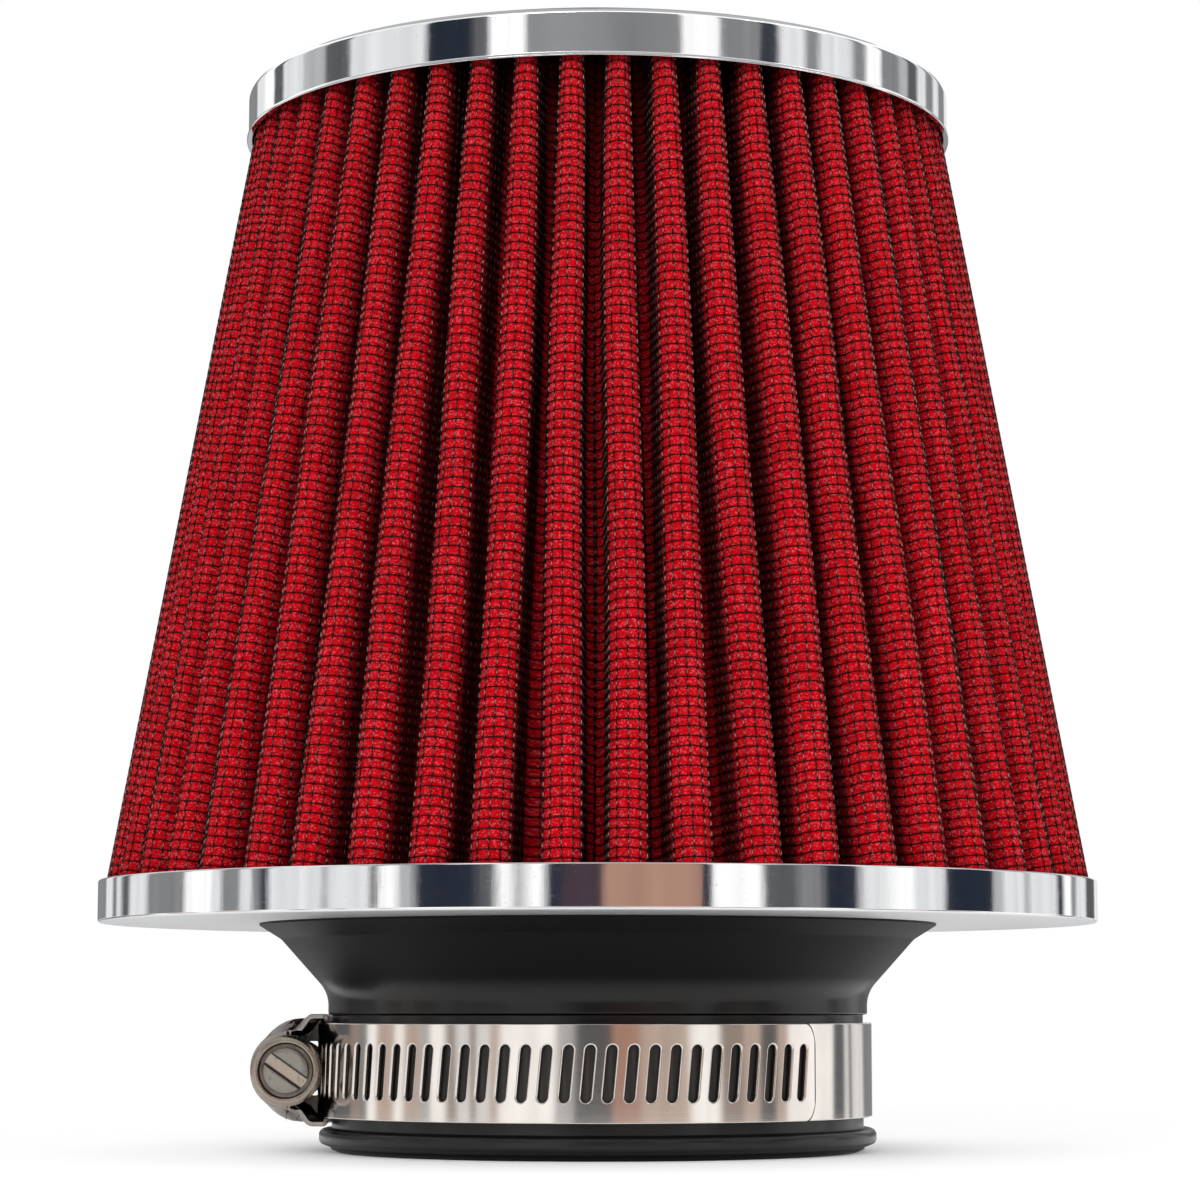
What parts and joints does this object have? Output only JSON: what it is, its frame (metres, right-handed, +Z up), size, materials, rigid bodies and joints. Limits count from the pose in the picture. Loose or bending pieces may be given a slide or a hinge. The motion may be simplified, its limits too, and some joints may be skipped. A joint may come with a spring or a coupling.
{
  "type": "cone air filter",
  "caption": "Pleated red gauze cone air filter under dark wire mesh, with chrome cap and base ring, a moulded black inlet neck and a worm-drive hose clamp.",
  "frame": {"origin": "on the filter's axis, at the foot of the neck that it stands on", "axes": "+Z up along the filter's axis, from the neck to the cap; -Y is the front, where the screw's head points; the screw lies on the -X side of the neck"},
  "size_m": [0.15, 0.15, 0.1609],
  "materials": {
    "chrome_cap": "mirror polish",
    "chrome_ring": "mirror polish outside, satin underneath",
    "sealant": "cast, matt",
    "coated_mesh": "dark-coated woven wire with red gauze showing through",
    "red_gauze": "oiled cotton gauze",
    "black_rubber": "moulded, satin",
    "clamp_steel": "polished stainless strip",
    "screw_steel": "turned, slightly dull"
  },
  "bodies": {
    "filter": {"top_cap": "chrome_cap", "top_sealant": "sealant", "outer_mesh": "coated_mesh", "filter_media": "red_gauze", "base_sealant": "sealant", "base_ring": "chrome_ring", "neck": "black_rubber", "clamp_band": "clamp_steel", "clamp_housing": "clamp_steel"},
    "screw": {"clamp_screw": "screw_steel"}
  },
  "joints": [
    {"name": "screw_turn", "type": "hinge", "parent": "filter", "child": "screw", "pos_m": [-0.0457, 0, 0.01215], "axis": [0, 1, 0], "continuous": true}
  ]
}
